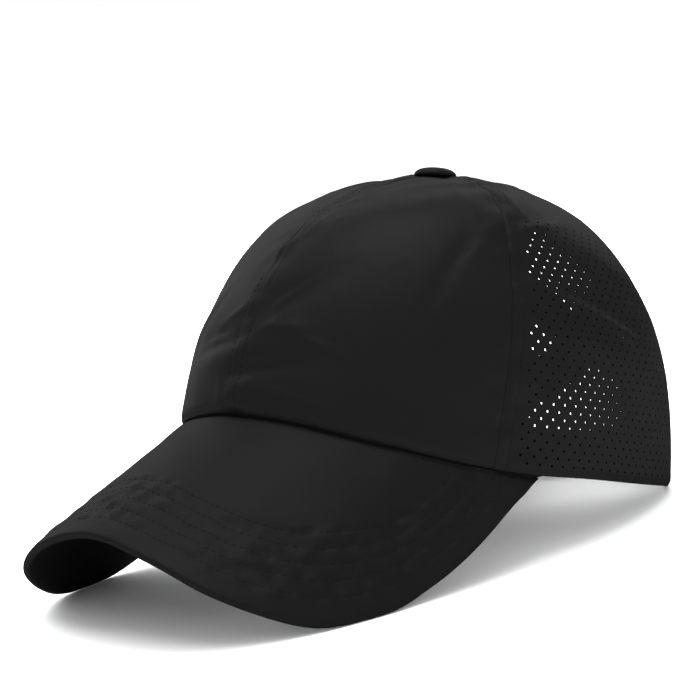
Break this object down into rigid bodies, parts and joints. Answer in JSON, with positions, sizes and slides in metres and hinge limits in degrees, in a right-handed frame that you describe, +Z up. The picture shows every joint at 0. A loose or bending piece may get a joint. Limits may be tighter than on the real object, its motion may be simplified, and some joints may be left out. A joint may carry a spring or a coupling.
{
  "type": "ponytail baseball cap",
  "caption": "Soft black baseball cap with a bowed peak, covered top button, perforated side panels and an open back crossed by straps above a hook-and-loop closure",
  "frame": {"origin": "middle of the bounding box in X and Y, on the surface that the cap stands on at Z = 0", "axes": "+Z up, the peak points to -Y, the wearer's left is +X"},
  "size_m": [0.168, 0.2412, 0.1283],
  "materials": {
    "shell_cloth": "thin smooth woven polyester, black, slight sheen",
    "perforated_cloth": "thin smooth polyester, black, punched with small round holes",
    "peak_cloth": "black woven polyester over a stiff core, stitched in curved rows",
    "band_cloth": "soft black knitted sweatband cloth",
    "strap_webbing": "black folded cloth strap, stitched along both edges",
    "closure_tape": "black cloth tab with hook-and-loop tape"
  },
  "bodies": {
    "root": {"front_panel_left": "shell_cloth", "front_panel_right": "shell_cloth", "side_panel_left": "perforated_cloth", "side_panel_right": "perforated_cloth", "peak": "peak_cloth", "top_button": "shell_cloth", "sweatband": "band_cloth", "cross_strap_upper": "strap_webbing", "cross_strap_lower": "strap_webbing", "closure_tab_outer": "closure_tape", "closure_tab_inner": "closure_tape"}
  },
  "joints": []
}
